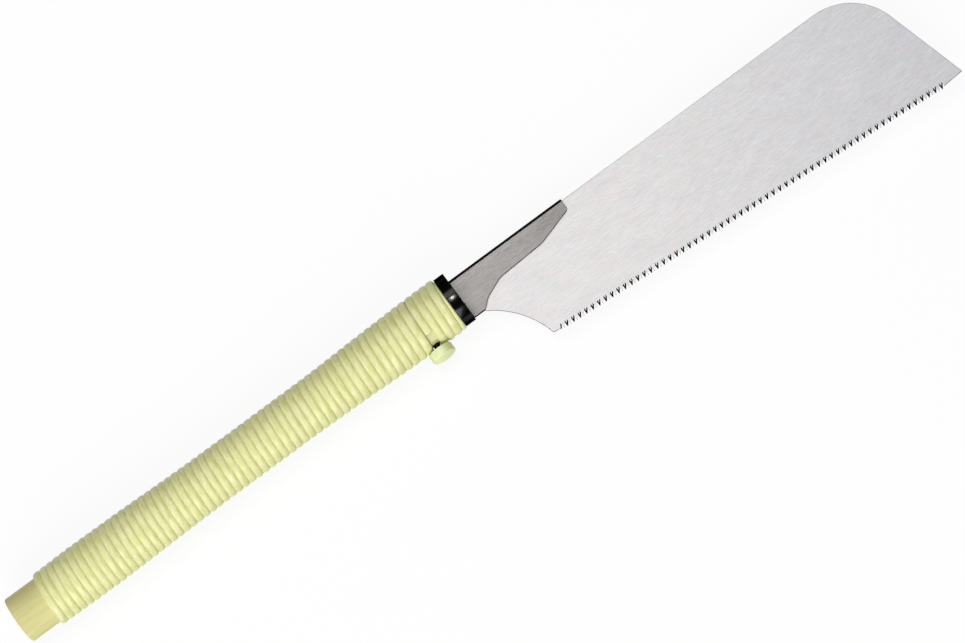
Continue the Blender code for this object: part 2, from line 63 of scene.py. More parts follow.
def selectNone(piece):  # edges or points are then picked in code
    editAll(piece)
    bpy.ops.mesh.select_all(action="DESELECT")
    bpy.ops.object.mode_set(mode="OBJECT")


def faceOut():  # ends the work on a piece in edit mode
    bpy.ops.mesh.select_all(action="SELECT")
    bpy.ops.mesh.normals_make_consistent(inside=False)
    bpy.ops.object.mode_set(mode="OBJECT")


def tidyMesh(piece, near=mergeNear):
    editAll(piece)
    bpy.ops.mesh.remove_doubles(threshold=near)
    faceOut()


def fixPlace(piece):
    takeUp(piece)
    bpy.ops.object.transform_apply(location=True, rotation=True, scale=True)


def addModifier(piece, kind, **settings):
    takeUp(piece)
    modifier = piece.modifiers.new(kind.lower(), kind)
    for key, value in settings.items():
        setattr(modifier, key, value)
    bpy.ops.object.modifier_apply(modifier=modifier.name)


def cutWith(piece, tool, operation="DIFFERENCE"):
    addModifier(piece, "BOOLEAN", operation=operation, solver="EXACT", object=tool, material_mode="TRANSFER")
    bpy.data.objects.remove(tool, do_unlink=True)


def breakEdges(piece, width, segments):  # sharp edges get the piece's second finish, a dark steel that paints shade on them
    addModifier(
        piece, "BEVEL", width=width, segments=segments, limit_method="ANGLE",
        angle_limit=math.radians(50), material=1)


def smoothTo(piece, degrees):
    takeUp(piece)
    bpy.ops.object.shade_smooth_by_angle(angle=math.radians(degrees))


def dress(piece, *finishes):
    piece.data.materials.clear()
    for finish in finishes:
        piece.data.materials.append(finish)


def settle(piece, body, slot, *nodes):
    fixPlace(piece)
    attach(piece, body)
    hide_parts(*nodes)
    print(piece.name, "done,", len(piece.data.polygons), "faces")


def ringOf(name, points, fill="NOTHING"):
    clearSelection()
    bpy.ops.mesh.primitive_circle_add(vertices=len(points), radius=0.01, fill_type=fill)
    ring = bpy.context.object
    ring.name = name
    for vert, point in zip(ring.data.vertices, points):
        vert.co = point
    return ring


def prismFrom(name, points, stroke):  # flat outline pulled out along a stroke
    prism = ringOf(name, points, "NGON")
    editAll(prism)
    bpy.ops.mesh.extrude_region_move(TRANSFORM_OT_translate={"value": stroke})
    faceOut()
    return prism


def plateFrom(name, corners, half):  # as thick on each side of the middle plane
    return prismFrom(name, [(x, y, -half) for x, y in corners], (0, 0, 2 * half))


def blockFrom(name, low, high):
    clearSelection()
    middle = [(a + b) / 2 for a, b in zip(low, high)]
    bpy.ops.mesh.primitive_cube_add(size=1, location=middle, scale=[b - a for a, b in zip(low, high)])
    block = bpy.context.object
    block.name = name
    fixPlace(block)
    return block


def rodFrom(name, middle, radius, length, turn=(0, 0, 0), sides=48):
    clearSelection()
    bpy.ops.mesh.primitive_cylinder_add(
        vertices=sides, radius=radius, depth=length, location=middle, rotation=turn)
    rod = bpy.context.object
    rod.name = name
    fixPlace(rod)
    return rod


def ovalStack(name, stations, sides):  # each station is x, half height, half depth
    clearSelection()
    x, high, deep = stations[0]
    bpy.ops.mesh.primitive_circle_add(
        vertices=sides, radius=1, fill_type="NGON", location=(x, 0, 0), rotation=(0, math.pi / 2, 0))
    stack = bpy.context.object
    stack.name = name
    fixPlace(stack)
    editAll(stack)
    bpy.ops.transform.resize(value=(1, high, deep), center_override=(x, 0, 0))
    for nextX, nextHigh, nextDeep in stations[1:]:
        bpy.ops.mesh.extrude_region_move(TRANSFORM_OT_translate={"value": (nextX - x, 0, 0)})
        bpy.ops.transform.resize(value=(1, nextHigh / high, nextDeep / deep), center_override=(nextX, 0, 0))
        x, high, deep = nextX, nextHigh, nextDeep
    faceOut()
    return stack


def turnedPiece(name, middle, profile, steps, ring=False):  # drops below the middle and radii, spun about Y
    x, y, z = middle
    piece = ringOf(name, [(x + radius, y - drop, z) for drop, radius in profile])
    if not ring:  # the edge on the axis goes, and the ends close there
        selectNone(piece)
        last = len(profile) - 1
        for edge in piece.data.edges:
            edge.select = set(edge.vertices) == {0, last}
        bpy.ops.object.mode_set(mode="EDIT")
        bpy.ops.mesh.delete(type="EDGE_FACE")
    editAll(piece)
    bpy.ops.mesh.spin(steps=steps, angle=2 * math.pi, center=middle, axis=(0, 1, 0))
    bpy.ops.object.mode_set(mode="OBJECT")
    tidyMesh(piece)
    return piece


def quarterRound(radius, steps=6):  # how far along and how far in, round an edge
    angles = [math.pi / 2 * step / steps for step in range(steps + 1)]
    return [(radius * (1 - math.cos(angle)), radius * (1 - math.sin(angle))) for angle in angles]


def arcPoints(start, end, radius, steps, turn):  # turn 1 bends left, -1 right
    start, end = Vector(start), Vector(end)
    half = (end - start) / 2
    left = Vector((-half.y, half.x)).normalized()
    centre = start + half + turn * left * math.sqrt(radius ** 2 - half.length_squared)
    sweep = turn * 2 * math.asin(half.length / radius)
    return [centre + Matrix.Rotation(sweep * step / steps, 2) @ (start - centre) for step in range(1, steps)]


def roundCorners(corners, steps=12):  # corners of x, y, radius
    outline = []
    for index, (x, y, radius) in enumerate(corners):
        corner = Vector((x, y))
        if radius == 0:
            outline.append(corner)
            continue
        before = (Vector(corners[index - 1][:2]) - corner).normalized()
        after = (Vector(corners[(index + 1) % len(corners)][:2]) - corner).normalized()
        setback = radius / math.tan(before.angle(after) / 2)
        start, end = corner + before * setback, corner + after * setback
        turn = 1 if before.cross(after) < 0 else -1
        outline += [start, *arcPoints(start, end, radius, steps, turn), end]
    return outline


# finishes

def rgb(red, green, blue):  # screen levels to linear
    channels = [c / 255 for c in (red, green, blue)]
    return (*[c / 12.92 if c <= 0.04045 else ((c + 0.055) / 1.055) ** 2.4 for c in channels], 1)


def grey(value):
    return (value, value, value, 1)


def addNode(tree, kind, links=None, **settings):
    node = tree.nodes.new("ShaderNode" + kind)
    for key, value in settings.items():
        setattr(node, key, value)
    for socket, value in (links or {}).items():
        if isinstance(value, bpy.types.NodeSocket):
            tree.links.new(value, node.inputs[socket])
        else:
            node.inputs[socket].default_value = value
    return node


def emptyFinish(name):
    finish = bpy.data.materials.new(name)
    finish.use_nodes = True
    finish.node_tree.nodes.clear()
    return finish, finish.node_tree


def startFinish(name, sockets):
    finish, tree = emptyFinish(name)
    shader = addNode(tree, "BsdfPrincipled", sockets)
    addNode(tree, "OutputMaterial", {"Surface": shader.outputs["BSDF"]})
    coords = addNode(tree, "TexCoord")
    return finish, tree, shader, coords


def stretched(tree, coords, scale, shift=(0, 0, 0)):
    return addNode(tree, "Mapping", {"Vector": coords, "Scale": scale, "Location": shift}).outputs["Vector"]


def grain(tree, vector, detail, rough, scale=1.0, warp=0.0):
    noise = addNode(tree, "TexNoise", {
        "Vector": vector, "Scale": scale, "Detail": detail, "Roughness": rough, "Distortion": warp})
    return noise.outputs["Fac"]


def shades(tree, factor, *stops):
    ramp = addNode(tree, "ValToRGB", {"Fac": factor})
    elements = ramp.color_ramp.elements
    while len(elements) < len(stops):
        elements.new(0.5)
    for element, (place, colour) in zip(elements, stops):
        element.position = place
        element.color = colour
    return ramp.outputs["Color"]


def mixed(tree, factor, first, second, way="MIX"):
    return addNode(tree, "Mix", {0: factor, 6: first, 7: second}, data_type="RGBA", blend_type=way).outputs[2]


def reckoned(tree, way, *values):
    return addNode(tree, "Math", dict(enumerate(values)), operation=way).outputs[0]


def spread(tree, value, old, new, soft=False):  # old and new ranges
    return addNode(tree, "MapRange", {
        "Value": value, "From Min": old[0], "From Max": old[1], "To Min": new[0], "To Max": new[1]},
        interpolation_type="SMOOTHSTEP" if soft else "LINEAR").outputs["Result"]


def roughen(tree, shader, height, depth, strength):
    bump = addNode(tree, "Bump", {"Height": height, "Strength": strength, "Distance": depth})
    tree.links.new(bump.outputs["Normal"], shader.inputs["Normal"])


def paint(tree, shader, socket, value):
    tree.links.new(value, shader.inputs[socket])


def makeCaneFinish():
    finish, tree, shader, coords = startFinish("varnishedCane", {"Specular IOR Level": 0.3})
    uv = coords.outputs["UV"]  # along the strip and across it
    fibre = grain(tree, stretched(tree, uv, (70, 24, 1)), detail=6, rough=0.6)
    patch = grain(tree, stretched(tree, uv, (150, 2.6, 1)), detail=4, rough=0.6)
    colour = shades(
        tree, patch, (0.3, rgb(206, 210, 142)), (0.5, rgb(222, 222, 160)), (0.7, rgb(233, 231, 182)))
    streak = shades(tree, fibre, (0.25, rgb(196, 190, 122)), (0.55, rgb(255, 255, 255)))
    colour = mixed(tree, 0.35, colour, streak, "MULTIPLY")
    blotch = grain(tree, stretched(tree, uv, (210, 5, 1), (3.7, 1.3, 0)), detail=3, rough=0.6)
    bloom = spread(tree, blotch, (0.58, 0.7), (0.0, 0.7), soft=True)
    colour = mixed(tree, bloom, colour, rgb(240, 226, 200))
    fleck = spread(tree, blotch, (0.34, 0.24), (0.0, 0.55), soft=True)
    colour = mixed(tree, fleck, colour, rgb(178, 150, 92))
    # painted shade: each strip darkens towards its two edges, where the grooves between the turns lie in shade
    across = addNode(tree, "SeparateXYZ", {"Vector": uv}).outputs["Y"]
    side = reckoned(tree, "ABSOLUTE", reckoned(tree, "SUBTRACT", across, 0.5))
    rim = spread(tree, side, (0.34, 0.46), (0.0, 0.25), soft=True)
    colour = mixed(tree, rim, colour, rgb(150, 143, 76))
    knots = addNode(tree, "TexVoronoi", {
        "Vector": stretched(tree, uv, (3.1, 0, 1)), "Scale": 1.0}, voronoi_dimensions="2D")
    scar = spread(tree, knots.outputs["Distance"], (0.0, 0.006), (0.5, 0.0), soft=True)
    colour = mixed(tree, scar, colour, rgb(150, 128, 70))
    paint(tree, shader, "Base Color", colour)
    paint(tree, shader, "Roughness", spread(tree, fibre, (0.3, 0.7), (0.28, 0.42)))
    roughen(tree, shader, fibre, depth=0.00003, strength=0.6)
    return finish


def makeWoodFinish():
    finish, tree, shader, coords = startFinish("paleWood", {"Specular IOR Level": 0.35})
    place = coords.outputs["Object"]
    rings = grain(tree, stretched(tree, place, (16, 300, 300)), detail=5, rough=0.6, warp=0.6)
    pores = grain(tree, stretched(tree, place, (60, 1500, 1500)), detail=5, rough=0.6)
    colour = shades(
        tree, rings, (0.3, rgb(192, 186, 122)), (0.5, rgb(204, 199, 137)), (0.7, rgb(211, 206, 148)))
    speck = shades(tree, pores, (0.3, rgb(205, 190, 140)), (0.5, rgb(255, 255, 255)))
    colour = mixed(tree, 0.22, colour, speck, "MULTIPLY")
    along = addNode(tree, "SeparateXYZ", {"Vector": place}).outputs["X"]
    front = spread(tree, along, (0.18, 0.235), (0.0, 1.0), soft=True)  # fresh wood that the wrap kept from the light
    colour = mixed(tree, front, colour, rgb(214, 210, 163))
    paint(tree, shader, "Base Color", colour)
    paint(tree, shader, "Roughness", spread(tree, pores, (0.3, 0.7), (0.48, 0.7)))
    roughen(tree, shader, pores, depth=0.00006, strength=0.7)
    return finish


def makeEnamelFinish():
    finish, tree, shader, coords = startFinish("blackEnamel", {"Metallic": 1.0, "Specular Tint": grey(0.0)})
    place = coords.outputs["Object"]
    skin = grain(tree, place, detail=3, rough=0.5, scale=900.0)
    dust = grain(tree, place, detail=5, rough=0.6, scale=220.0)
    paint(tree, shader, "Base Color", shades(tree, dust, (0.35, grey(0.02)), (0.75, grey(0.027))))
    paint(tree, shader, "Roughness", spread(tree, dust, (0.3, 0.7), (0.14, 0.18)))
    roughen(tree, shader, skin, depth=0.00001, strength=0.12)
    return finish


def makeBrushedFinish(name, dark, light, rough):
    finish, tree, shader, coords = startFinish(name, {"Metallic": 1.0})
    place = coords.outputs["Object"]
    fine = grain(tree, stretched(tree, place, (230, 2000, 2000)), detail=7, rough=0.75, warp=0.8)
    broad = grain(tree, stretched(tree, place, (60, 160, 160)), detail=4, rough=0.5)
    colour = shades(tree, fine, (0.3, dark), (0.7, light))
    tone = shades(tree, broad, (0.3, grey(0.93)), (0.7, grey(1.0)))
    colour = mixed(tree, 0.8, colour, tone, "MULTIPLY")
    paint(tree, shader, "Roughness", spread(tree, fine, (0.3, 0.7), (rough - 0.06, rough + 0.08)))
    roughen(tree, shader, fine, depth=0.000012, strength=0.5)
    return finish, tree, shader, place, colour


def makeBladeFinish():
    finish, tree, shader, place, colour = makeBrushedFinish(
        "brushedBladeSteel", rgb(181, 179, 179), rgb(234, 232, 231), rough=0.56)
    along = addNode(tree, "SeparateXYZ", {"Vector": place}).outputs["X"]
    sheen = grain(tree, stretched(tree, place, (110, 300, 300), (0.4, 0.1, 0)), detail=3, rough=0.5)
    tint = shades(tree, sheen, (0.35, rgb(255, 252, 251)), (0.65, rgb(251, 253, 255)))
    colour = mixed(tree, 1.0, colour, tint, "MULTIPLY")
    cool = spread(tree, along, (0.33, 0.53), (0.0, 1.0), soft=True)  # a colder tone out at the toe
    colour = mixed(tree, cool, colour, rgb(250, 252, 255), "MULTIPLY")
    paint(tree, shader, "Base Color", colour)
    return finish


def makeHolderFinish():
    finish, tree, shader, place, colour = makeBrushedFinish(
        "greyBrushedSheet", rgb(109, 106, 104), rgb(174, 171, 168), rough=0.5)
    parts = addNode(tree, "SeparateXYZ", {"Vector": place})
    fold = spread(tree, parts.outputs["Y"], (0.00785, 0.00805), (0.0, 1.0), soft=True)
    ahead = spread(tree, parts.outputs["X"], (0.2716, 0.2718), (0.0, 1.0))
    paintedFoldReflection = reckoned(tree, "MULTIPLY", fold, ahead)  # painted dark reflection on the rounded fold over the back, ahead of the ferrule
    paint(tree, shader, "Base Color", mixed(tree, paintedFoldReflection, colour, rgb(14, 12, 12)))
    return finish


def makeSteelFinish(name, dark, light, rough, rim=1.0):
    finish, tree, shader, coords = startFinish(name, {"Metallic": 1.0, "Specular Tint": grey(rim)})
    place = coords.outputs["Object"]
    cloud = grain(tree, place, detail=5, rough=0.6, scale=700.0)
    scratch = grain(tree, stretched(tree, place, (200, 1800, 900)), detail=4, rough=0.6)
    paint(tree, shader, "Base Color", shades(tree, cloud, (0.3, dark), (0.7, light)))
    paint(tree, shader, "Roughness", spread(tree, scratch, (0.3, 0.7), (rough - 0.08, rough + 0.1)))
    roughen(tree, shader, scratch, depth=0.00001, strength=0.4)
    return finish


def makeKnobFinish():
    finish, tree, shader, coords = startFinish("creamPlastic", {"Specular IOR Level": 0.5})
    place = coords.outputs["Object"]
    cloud = grain(tree, place, detail=4, rough=0.5, scale=260.0)
    skin = grain(tree, place, detail=3, rough=0.5, scale=2400.0)
    colour = shades(tree, cloud, (0.3, rgb(216, 223, 163)), (0.7, rgb(228, 234, 180)))
    paint(tree, shader, "Base Color", colour)
    paint(tree, shader, "Roughness", spread(tree, skin, (0.3, 0.7), (0.2, 0.3)))
    roughen(tree, shader, skin, depth=0.00001, strength=0.3)
    return finish


caneFinish = makeCaneFinish()
woodFinish = makeWoodFinish()
enamelFinish = makeEnamelFinish()
bladeFinish = makeBladeFinish()
holderFinish = makeHolderFinish()
plainSteel = makeSteelFinish("plainSteel", rgb(132, 132, 136), rgb(166, 166, 168), rough=0.42)
# painted shade: the holder's sheared edges, its cut outline and the walls of its channel get a near-black steel
# colour
paintedEdgeShade = makeSteelFinish("shearedEdgePaintedShade", rgb(20, 18, 18), rgb(40, 37, 36), rough=0.45, rim=0.0)
# painted reflection: the filed tooth facets get a near-black colour for the dark ground they reflect
paintedToothReflection = makeSteelFinish("filedToothPaintedReflection", rgb(24, 24, 25), rgb(40, 40, 41), rough=0.4, rim=0.0)
# painted shade: the blade's edge faces get a dark steel colour that draws a grey outline round the blade
bladeEdgeShade = makeSteelFinish("bladeEdgeSteel", rgb(66, 66, 68), rgb(96, 96, 98), rough=0.4, rim=0.2)
studSteel = makeSteelFinish("blackenedStud", rgb(22, 21, 21), rgb(46, 44, 43), rough=0.4)
washerSteel = makeSteelFinish("brightWasher", rgb(206, 206, 207), rgb(230, 230, 230), rough=0.34)
knobFinish = makeKnobFinish()
print("finishes made")


# handle core

core = {
    "front": 0.2699, "shoulder": 0.266, "ledge": 0.00001, "spigot": 0.0128, "flat": 0.81,
    "butt": 0.0255, "swell": 0.0262, "waist": 0.0235, "full": 0.0267,
    "buttRun": 0.017, "swellX": 0.042, "waistX": 0.130, "waistEnd": 0.172, "fullX": 0.256,
    "buttEdge": [(0, 0.0006), (0.00015, 0.00025), (0.0006, 0.0)],  # x and inset
    "mortise": ((0.2031, -0.00645, -0.00285), (0.272, 0.0096, 0.00285)),
    "nutHalf": 0.0038, "nutFoot": -0.0098, "nutTop": -0.006, "nutFront": 0.272,
    "studHoleY": -0.0115, "studHole": 0.00255, "studHoleLong": 0.006,
    "pinPlace": (0.2084, 0.0035, 0), "pinHole": 0.0018, "pinHoleLong": 0.04,
    "sides": 96, "step": 0.004, "smooth": 35,
}
studX = 0.2486


def eased(x, start, end):
    share = min(max((x - start) / (end - start), 0), 1)
    return (1 - math.cos(math.pi * share)) / 2


def coreHalf(x):  # half height and half depth of the wood
    height = core["butt"]
    height += (core["swell"] - core["butt"]) * eased(x, core["buttRun"], core["swellX"])
    height += (core["waist"] - core["swell"]) * eased(x, core["swellX"], core["waistX"])
    height += (core["full"] - core["waist"]) * eased(x, core["waistEnd"], core["fullX"])
    return height / 2, core["flat"] * height / 2


def coreStation(x, inset=0.0):
    high, deep = coreHalf(x)
    return x, high - inset, deep - inset


def makeCore():
    stations = [coreStation(x, inset) for x, inset in core["buttEdge"]]
    start = core["buttEdge"][-1][0]
    run = core["shoulder"] - start
    count = round(run / core["step"])
    stations += [coreStation(start + run * index / count) for index in range(1, count + 1)]
    spigot = (core["spigot"], core["spigot"] * core["flat"])
    stations += [(core["shoulder"] + core["ledge"], *spigot), (core["front"], *spigot)]
    wood = ovalStack("handleWood", stations, core["sides"])
    dress(wood, woodFinish)
    cutWith(wood, blockFrom("mortise", *core["mortise"]))
    half = core["nutHalf"]
    cutWith(wood, blockFrom(
        "nutPocket", (studX - half, core["nutFoot"], -half), (core["nutFront"], core["nutTop"], half)))
    cutWith(wood, rodFrom(
        "studHole", (studX, core["studHoleY"], 0), core["studHole"], core["studHoleLong"], (math.pi / 2, 0, 0)))
    cutWith(wood, rodFrom("pinHole", core["pinPlace"], core["pinHole"], core["pinHoleLong"]))
    smoothTo(wood, core["smooth"])
    settle(wood, "handle", "bare_wood", "handle_core")


makeCore()


# cane wrap

cane = {
    "pitch": 0.00424, "closing": 0.00000515, "split": 0.00032, "gap": 0.00003, "front": 0.266,
    "seat": 0.0001, "thick": 0.00187, "thinning": 0.4, "wall": 0.58, "fullness": 2.8,
    "drift": 0.00003, "driftRates": (2.3, 9.1), "swell": 0.02, "swellRate": 5.7,
    "girth": 0.0785, "stepsPerTurn": 60, "arcSteps": 12, "smooth": 60,
    "lengths": {  # first turn, last turn, node
        "caneFront": (0.15, 4.356, "cane_strip_front"),
        "caneRearA": (-19.2409, -0.15, "cane_strip_1"),
        "caneRearB": (-38.2409, -19.25, "cane_strip_2"),
        "caneRearC": (-56.25, -38.25, "cane_strip_3"),
    },
}


def canePlace(turn):  # turns are counted from the stud towards the ferrule
    if turn > 0:
        return studX + cane["pitch"] * turn, cane["pitch"]
    pitch = cane["pitch"] + cane["closing"] * turn
    return studX - cane["split"] + (cane["pitch"] + pitch) / 2 * turn, pitch


def caneSection():  # closed section with a round crown, across -1 to 1 and out 0 to 1
    section = [(-1, 0)]
    for step in range(cane["arcSteps"] + 1):
        across = -math.cos(math.pi * step / cane["arcSteps"])
        section.append((across, cane["wall"] + (1 - cane["wall"]) * (1 - abs(across) ** cane["fullness"])))
    return [*section, (1, 0), (-1, 0)]


def makeCane(name, first, last, node):
    section = caneSection()
    rows = len(section) - 1
    count = round((last - first) * cane["stepsPerTurn"])
    slow, quick = cane["driftRates"]
    clearSelection()
    bpy.ops.mesh.primitive_grid_add(x_subdivisions=count, y_subdivisions=rows, size=1)
    strip = bpy.context.object
    strip.name = name
    uvOf = {}
    for vert in strip.data.vertices:
        turn = first + (last - first) * (vert.co.x + 0.5)
        row = round((vert.co.y + 0.5) * rows)
        across, out = section[row]
        middle, pitch = canePlace(turn)
        middle += cane["drift"] * math.sin(slow * turn) * math.sin(quick * turn)  # the hand that laid it
        width = pitch - cane["gap"]
        rear = middle - width / 2
        front = min(middle + width / 2, cane["front"])
        half = (front - rear) / 2
        thick = cane["thick"] * (2 * half / width) ** cane["thinning"]
        lift = cane["seat"] + out * thick * (1 + cane["swell"] * math.sin(cane["swellRate"] * turn))
        x = (rear + front) / 2 + across * half
        high, deep = coreHalf(x)
        angle = math.pi - 2 * math.pi * turn
        vert.co = (x, (high + lift) * math.cos(angle), (deep + lift) * math.sin(angle))
        uvOf[vert.index] = (turn * cane["girth"], row / (rows - 1))
    for loop, corner in zip(strip.data.loops, strip.data.uv_layers[0].data):
        corner.uv = uvOf[loop.vertex_index]
    editAll(strip)
    bpy.ops.mesh.remove_doubles(threshold=mergeNear)
    bpy.ops.mesh.fill_holes(sides=0)
    faceOut()
    dress(strip, caneFinish)
    smoothTo(strip, cane["smooth"])
    settle(strip, "handle", "cane", node)


for caneName, (firstTurn, lastTurn, caneNode) in cane["lengths"].items():
    makeCane(caneName, firstTurn, lastTurn, caneNode)


# ferrule

ferrule = {
    "rear": 0.2661, "front": 0.2720, "face": 0.2714, "high": 0.0143, "deep": 0.011868,
    "wall": 0.0012, "overrun": 0.001, "round": 0.0003, "sides": 160, "smooth": 35,
    "seatFront": 0.274, "seatHigh": 0.0099, "seatLow": -0.0137, "seatHalf": 0.0015,
    "tangSlot": ((0.266, -0.0013, -0.00155), (0.273, 0.0083, 0.00155)),
}


def makeFerrule():
    high, deep, wall, sides = (ferrule[key] for key in ("high", "deep", "wall", "sides"))
    edge = [(ferrule["rear"] + along, inset) for along, inset in quarterRound(ferrule["round"])]
    edge += [(ferrule["rear"] + ferrule["front"] - x, inset) for x, inset in reversed(edge)]
    cap = ovalStack("blackFerrule", [(x, high - inset, deep - inset) for x, inset in edge], sides)
    dress(cap, enamelFinish)
    ends = (ferrule["rear"] - ferrule["overrun"], ferrule["face"] - wall)
    cutWith(cap, ovalStack("ferruleHollow", [(x, high - wall, deep - wall) for x in ends], sides))
    half = ferrule["seatHalf"]
    cutWith(cap, blockFrom(
        "neckSeat", (ferrule["face"], ferrule["seatLow"], -half), (ferrule["seatFront"], ferrule["seatHigh"], half)))
    cutWith(cap, blockFrom("tangSlot", *ferrule["tangSlot"]))
    smoothTo(cap, ferrule["smooth"])
    settle(cap, "handle", "ferrule_enamel", "ferrule")


makeFerrule()


# blade

blade = {
    "half": 0.0003, "length": 0.2393, "rise": 0.0016, "fall": math.radians(4.19), "edge": 0.0002, "smooth": 25,
    "back": 0.00855, "rake": math.radians(13.9), "toeRound": 0.031, "toeSteps": 24,
    "heel": (0.2991, -0.0437), "heelRound": 0.0008, "heelTip": 0.0002,
    "foot": (0.2778, -0.0137), "scallop": 0.048, "scallopSteps": 40,
    "tailX": 0.2758, "tailRound": 0.0064, "tailTop": 0.0032, "tailHeel": 0.0045,
    "pinX": 0.2830, "pinY": -0.0005, "slot": 0.0019, "slotSteps": 12,
    "pitch": 0.001885, "firstTip": 0.00573, "teeth": 118, "proud": 0.0011, "leadIn": 0.0012,
    "leadOut": 0.0006, "leadEnd": 0.0002, "set": 0.00006, "setBelow": -0.0002,
    "depth": 0.0035, "gullet": -0.0001425, "land": 0.00028, "fleam": math.radians(50),
    "fileBelow": 0.0004, "fileReach": 0.0006,
    "tipTall": 0.0004, "tipDeep": 0.00022, "tipLead": 0.0009, "tipOver": 0.3, "tipUnder": 0.5,
}


def alongEdge(along, up=0.0):
    cosine, sine = math.cos(blade["fall"]), math.sin(blade["fall"])
    return Vector(blade["heel"]) + along * Vector((cosine, -sine)) + up * Vector((sine, cosine))


def bladeOutline():
    toe = alongEdge(blade["length"], blade["rise"])
    toeTop = toe.x - (blade["back"] - toe.y) * math.tan(blade["rake"])
    tailX, pinX, pinY, slotHalf = (blade[key] for key in ("tailX", "pinX", "pinY", "slot"))
    top = roundCorners([
        (tailX, pinY + blade["tailTop"], 0), (toe.x, toe.y, 0), (toeTop, blade["back"], blade["toeRound"]),
        (tailX, blade["back"], blade["tailRound"])], blade["toeSteps"])[1:]
    slot = [(tailX, pinY + slotHalf)]
    for step in range(blade["slotSteps"] + 1):
        angle = math.pi / 2 - math.pi * step / blade["slotSteps"]
        slot.append((pinX + slotHalf * math.cos(angle), pinY + slotHalf * math.sin(angle)))
    slot += [(tailX, pinY - slotHalf), (tailX, pinY - blade["tailHeel"])]
    heel = alongEdge(0)
    curve = arcPoints(blade["foot"], heel, blade["scallop"], blade["scallopSteps"], -1)
    firstTip, proud = blade["firstTip"], blade["proud"]
    afterTeeth = firstTip + blade["teeth"] * blade["pitch"]
    edge = [
        heel + (curve[-1] - heel).normalized() * blade["heelRound"],
        alongEdge(blade["heelTip"], blade["heelTip"]), alongEdge(blade["heelRound"]),
        alongEdge(firstTip - blade["pitch"]), alongEdge(firstTip - blade["leadIn"], -proud),
        alongEdge(afterTeeth - blade["leadOut"], -proud), alongEdge(afterTeeth + blade["leadEnd"])]
    return [*top, *slot, blade["foot"], *curve[:-1], *edge]


def gulletRow(name, first, count, lean):  # one filed notch, then copied along the edge
    shift = math.tan(blade["fleam"])
    spare = shift * blade["half"]
    tip = blade["firstTip"] + first * blade["pitch"]
    span, below, reach = blade["depth"], blade["fileBelow"], blade["fileReach"]
    apex = (tip + blade["gullet"], span - blade["proud"])
    right, left = tip + spare - blade["land"] / 2, tip - blade["pitch"] - spare + blade["land"] / 2
    right += (right - apex[0]) * below / span
    left += (left - apex[0]) * below / span
    foot = -blade["proud"] - below
    places = [alongEdge(along - lean * shift * reach, up) for along, up in (apex, (right, foot), (left, foot))]
    drive = alongEdge(1) - alongEdge(0)
    stroke = drive * lean * shift * 2 * reach
    notch = prismFrom(name, [(place.x, place.y, -reach) for place in places], (stroke.x, stroke.y, 2 * reach))
    step = drive * 2 * blade["pitch"]
    addModifier(
        notch, "ARRAY", count=count, use_relative_offset=False, use_constant_offset=True,
        constant_offset_displace=(step.x, step.y, 0))
    # the notch faces take the painted dark reflection
    dress(notch, paintedToothReflection)
    return notch


def tipCut(name, side):  # one long slanting cut that leaves a small facet on every tip
    tall, deep = blade["tipTall"], side * blade["tipDeep"]
    over, under = blade["tipOver"], blade["tipUnder"]
    low, high = -blade["proud"] - under * tall, -blade["proud"] + (1 + over) * tall
    outer = side * blade["half"] + over * deep
    inner = side * blade["half"] - (1 + under) * deep
    first = blade["firstTip"] - blade["tipLead"]
    points = [(*alongEdge(first, up), z) for up, z in ((high, outer), (low, inner), (low, outer))]
    run = alongEdge(blade["firstTip"] + blade["teeth"] * blade["pitch"]) - alongEdge(first)
    wedge = prismFrom(name, points, (run.x, run.y, 0))
    # the tip facets take the painted dark reflection
    dress(wedge, paintedToothReflection)
    return wedge


def makeBlade():
    plate = plateFrom("bladePlate", bladeOutline(), blade["half"])
    dress(plate, bladeFinish, bladeEdgeShade)
    # the edge faces take the painted edge shade
    for face in plate.data.polygons:
        face.material_index = 0 if abs(face.normal.z) > 0.5 else 1
    breakEdges(plate, blade["edge"], 1)
    for side in (1, -1):
        cutWith(plate, tipCut("tipFacets", side))
    cutWith(plate, gulletRow("evenGullets", 0, blade["teeth"] // 2 + 1, -1))
    cutWith(plate, gulletRow("oddGullets", 1, (blade["teeth"] + 1) // 2, 1))
    tidyMesh(plate)
    sine, cosine = math.sin(blade["fall"]), math.cos(blade["fall"])
    for odd in (0, 1):  # teeth bent a little to each side
        selectNone(plate)
        for vert in plate.data.vertices:
            x, y = vert.co.x - blade["heel"][0], vert.co.y - blade["heel"][1]
            along, up = x * cosine - y * sine, x * sine + y * cosine
            tooth = (along - blade["firstTip"]) / blade["pitch"]
            vert.select = up < blade["setBelow"] and round(tooth) % 2 == odd
        bpy.ops.object.mode_set(mode="EDIT")
        bpy.ops.transform.translate(value=(0, 0, blade["set"] * (1 - 2 * odd)))
        bpy.ops.object.mode_set(mode="OBJECT")
    smoothTo(plate, blade["smooth"])
    settle(plate, "blade", "blade_steel", "saw_blade")


makeBlade()


# blade holder

holder = {
    "face": 0.2714, "length": 0.0699, "half": 0.00125, "sheet": 0.0008, "slotHalf": 0.00045,
    "top": 0.0096, "foot": -0.0134, "neck": 0.2717, "edge": 0.00035, "edgeSteps": 3, "smooth": 20,
    "tangRear": 0.2134, "tangTop": 0.008, "tangFoot": -0.001, "corner": 0.001,
    "throat": [(0.0121, -0.0092, 0.006), (0.0226, -0.0047, 0.009), (0.0495, -0.0032, 0.012)],  # ahead, y, radius
    "throatStart": 0.0074, "nose": (0.003, 0.0026), "overrun": 0.001, "blankFoot": -0.0154,
    "foldShare": 0.998, "foldSteps": 10, "foldNear": 0.0001, "foldLong": 0.01, "foldMerge": 0.000004,
    "channelRear": 0.2, "channelFront": 0.36, "channelFoot": -0.02, "trimHalf": 0.004, "cutMerge": 0.000002,
    "rivets": [(0.2244, 0.0035), (0.2604, 0.0035)], "rivetHole": 0.0016, "rivetLong": 0.01,
    "pinSeat": (0.2830, -0.0005, 0.0017, 0.0017),  # x, y, radius, length
}


